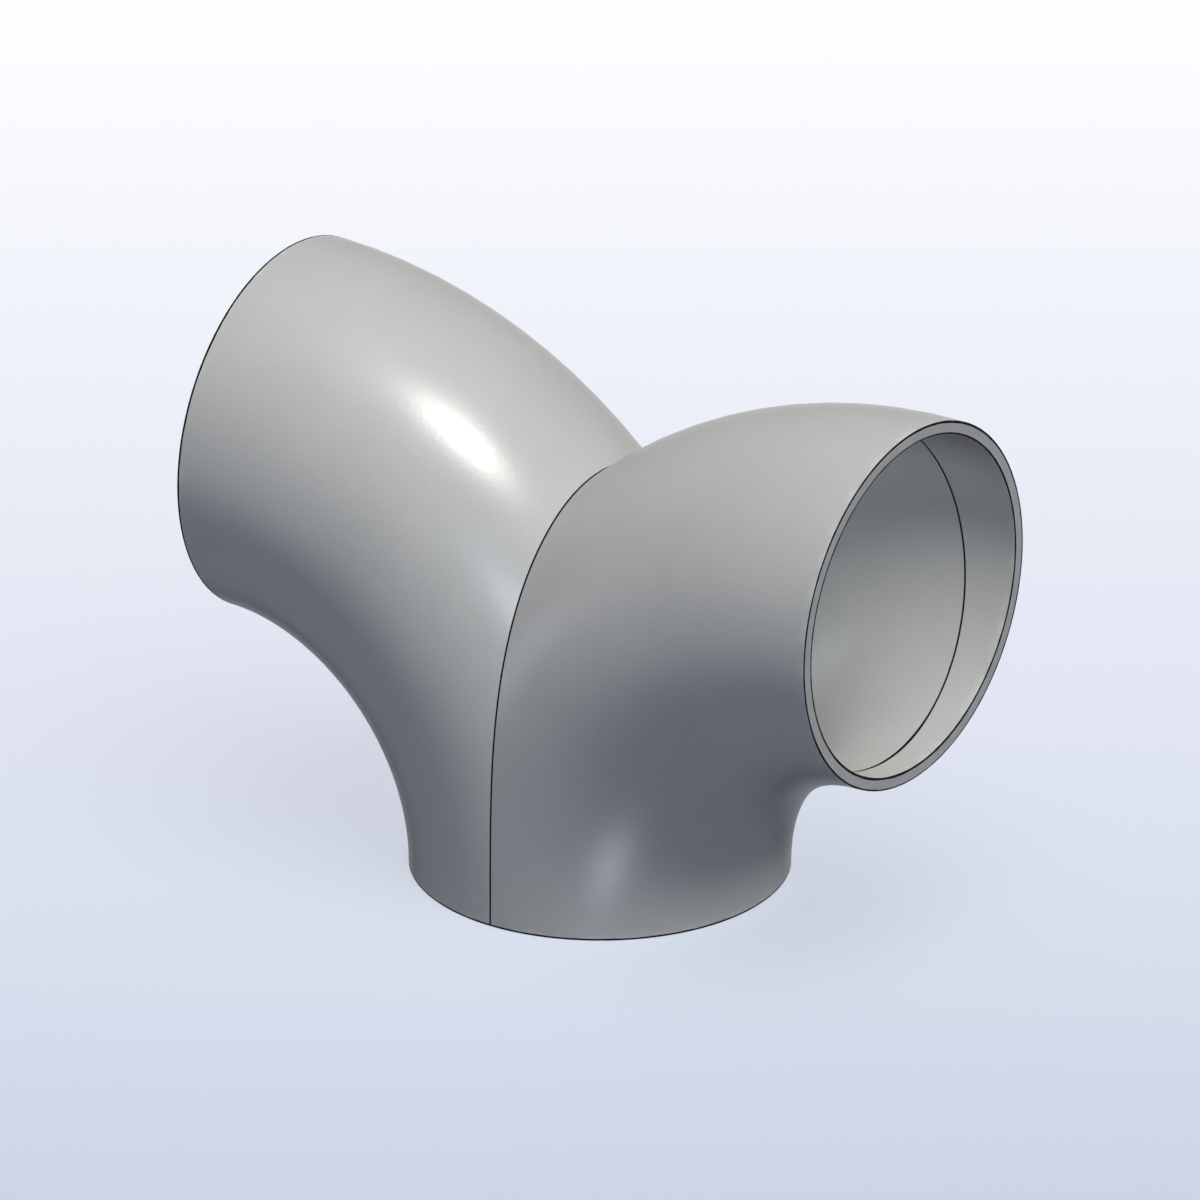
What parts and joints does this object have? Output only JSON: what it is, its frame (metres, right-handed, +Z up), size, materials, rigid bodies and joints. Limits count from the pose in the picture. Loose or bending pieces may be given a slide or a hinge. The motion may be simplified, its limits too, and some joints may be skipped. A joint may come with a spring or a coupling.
{
  "type": "y pipe fitting",
  "caption": "Plain-ended Y pipe fitting whose round inlet splits into two swept right-angle bends with opposite outlets, in smooth grey metal.",
  "frame": {"origin": "centre of the inlet's end face, on which the fitting stands", "axes": "+Z up the inlet's axis into the fitting, +X out of the right-hand outlet, +Y square to the plane that holds the three axes, towards the back of the pictured side"},
  "size_m": [0.216, 0.108, 0.162],
  "materials": {
    "fitting_body": "smooth satin light grey paint, inside and out"
  },
  "bodies": {
    "root": {"fitting_body": "fitting_body"}
  },
  "joints": []
}
